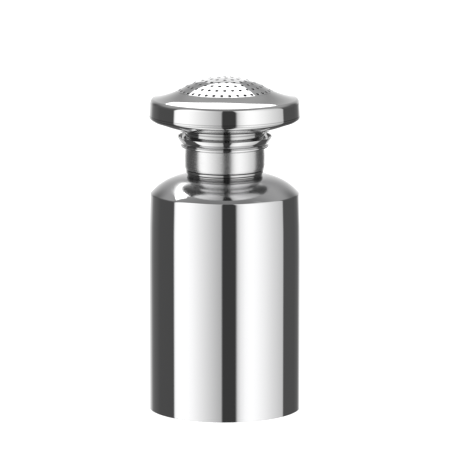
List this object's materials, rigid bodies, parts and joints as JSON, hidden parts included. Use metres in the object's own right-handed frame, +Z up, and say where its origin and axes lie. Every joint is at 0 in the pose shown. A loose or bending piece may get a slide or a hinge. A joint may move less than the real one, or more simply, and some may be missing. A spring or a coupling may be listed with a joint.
{
  "type": "spice shaker",
  "caption": "Tall round stainless steel shaker with a rounded shoulder, a screwed neck, a flared collar and a mushroom-shaped head with a perforated dome.",
  "frame": {"origin": "centre of the round base, on the surface it stands on", "axes": "+Z up along the axis of the can, from the base to the perforated dome; -Y towards the viewer of the picture"},
  "size_m": [0.0658, 0.0658, 0.1447],
  "materials": {
    "polished_steel": "mirror-polished stainless steel",
    "turned_steel": "turned stainless steel, fine rings",
    "silicone": "matte"
  },
  "bodies": {
    "can": {"body_shell": "polished_steel", "base_plate": "polished_steel", "neck_bead_ring": "polished_steel", "neck_thread_sleeve": "turned_steel"},
    "seal": {"seal_ring": "silicone"},
    "head": {"neck_barrel": "polished_steel", "thread_insert": "turned_steel", "flared_collar": "polished_steel", "feed_stem": "polished_steel", "cap_underside": "polished_steel", "cap_shell": "polished_steel", "perforated_dome": "polished_steel", "dome_retaining_ring": "turned_steel"}
  },
  "joints": [
    {"name": "head_lift", "type": "slide", "parent": "can", "child": "seal", "axis": [0, 0, 1], "range_m": [0, 0.0075]},
    {"name": "head_turn", "type": "hinge", "parent": "seal", "child": "head", "pos_m": [0, 0, 0.1126], "axis": [0, 0, 1], "range_deg": [0, 900]}
  ],
  "couplings": [
    {"joint": "head_lift", "follows": "head_turn", "m_per_rad": 0.00047746}
  ]
}
